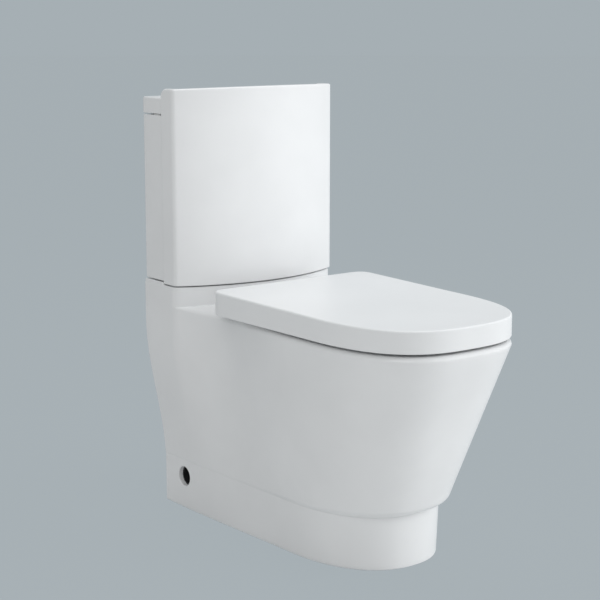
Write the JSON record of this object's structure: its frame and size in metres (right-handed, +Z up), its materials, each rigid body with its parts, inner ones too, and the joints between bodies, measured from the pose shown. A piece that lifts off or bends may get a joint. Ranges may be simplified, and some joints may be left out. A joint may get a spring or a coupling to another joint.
{
  "type": "close coupled toilet",
  "caption": "Close coupled toilet: floor-standing glazed pan with wrap-over seat and lid, cistern with a bowed front shield, lift-off cover and dual flush button.",
  "frame": {"origin": "centre of the overall box, on the floor", "axes": "+Z up, +Y towards the wall behind the cistern, -Y towards the user, +X to the left of a seated user"},
  "size_m": [0.366, 0.71, 0.809],
  "materials": {
    "glaze": "white vitreous china glaze",
    "seat_plastic": "white moulded thermoset",
    "chrome": "polished chrome plate",
    "steel": "zinc plated",
    "black_plastic": "black nylon",
    "grey_plastic": "grey acetal",
    "white_plastic": "white polypropylene",
    "blue_plastic": "blue polypropylene",
    "rubber": "black rubber",
    "foam": "black closed cell foam",
    "red_rubber": "red silicone",
    "clear_rubber": "milky soft plastic"
  },
  "bodies": {
    "pan": {"pan_body": "glaze", "pan_bowl": "glaze", "pan_trapway": "glaze", "floor_brackets": "steel", "bracket_screws": "steel", "fixing_bushes": "black_plastic", "side_fixing_screws": "steel", "hinge_bases": "chrome", "hinge_pins": "steel", "hinge_dampers": "grey_plastic", "hinge_studs": "steel", "stud_washers": "rubber", "stud_nuts": "black_plastic", "cistern_tank": "glaze", "tank_pads": "rubber", "tank_bolts": "steel", "bolt_washers": "rubber", "bolt_nuts": "black_plastic", "doughnut_gasket": "foam", "valve_base": "white_plastic", "valve_washer": "rubber", "valve_backnut": "black_plastic", "valve_tower": "white_plastic", "valve_bridge": "white_plastic", "fill_column": "white_plastic", "inlet_washer": "rubber", "inlet_backnut": "black_plastic", "fill_head": "white_plastic", "arm_pin": "steel"},
    "seat": {"seat_ring": "seat_plastic", "seat_buffers": "clear_rubber"},
    "lid": {"seat_lid": "seat_plastic", "lid_buffers": "clear_rubber"},
    "cover": {"cistern_lid": "glaze", "lid_pads": "clear_rubber", "button_bezel": "chrome", "bezel_nut": "black_plastic"},
    "full_button": {"full_flush_button": "chrome", "full_push_rod": "grey_plastic"},
    "half_button": {"half_flush_button": "chrome", "half_push_rod": "grey_plastic"},
    "flush_valve": {"overflow_tube": "white_plastic", "valve_seal": "red_rubber"},
    "float": {"fill_float": "blue_plastic"},
    "arm": {"float_arm": "grey_plastic"}
  },
  "joints": [
    {"name": "seat_hinge", "type": "hinge", "parent": "pan", "child": "seat", "pos_m": [0, 0.122, 0.428], "axis": [-1, 0, 0], "range_deg": [0, 95]},
    {"name": "lid_hinge", "type": "hinge", "parent": "seat", "child": "lid", "pos_m": [0, 0.122, 0.428], "axis": [1, 0, 0], "range_deg": [-95, 0]},
    {"name": "cover_lift", "type": "slide", "parent": "pan", "child": "cover", "axis": [0, 0, 1], "range_m": [0, 0.12]},
    {"name": "full_flush_press", "type": "slide", "parent": "cover", "child": "full_button", "axis": [0, 0, -1], "range_m": [0, 0.006], "stiffness_N_per_m": 800, "springref_m": -0.004},
    {"name": "half_flush_press", "type": "slide", "parent": "cover", "child": "half_button", "axis": [0, 0, -1], "range_m": [0, 0.006], "stiffness_N_per_m": 800, "springref_m": -0.004},
    {"name": "flush_lift", "type": "slide", "parent": "pan", "child": "flush_valve", "axis": [0, 0, 1], "range_m": [0, 0.012]},
    {"name": "float_drop", "type": "slide", "parent": "pan", "child": "float", "axis": [0, 0, -1], "range_m": [0, 0.012]},
    {"name": "arm_pivot", "type": "hinge", "parent": "pan", "child": "arm", "pos_m": [-0.14, 0.295, 0.735], "axis": [0, 1, 0], "range_deg": [0, 15]}
  ],
  "couplings": [
    {"joint": "flush_lift", "follows": "full_flush_press", "ratio": 2},
    {"joint": "arm_pivot", "follows": "float_drop", "rad_per_m": 21.8}
  ]
}
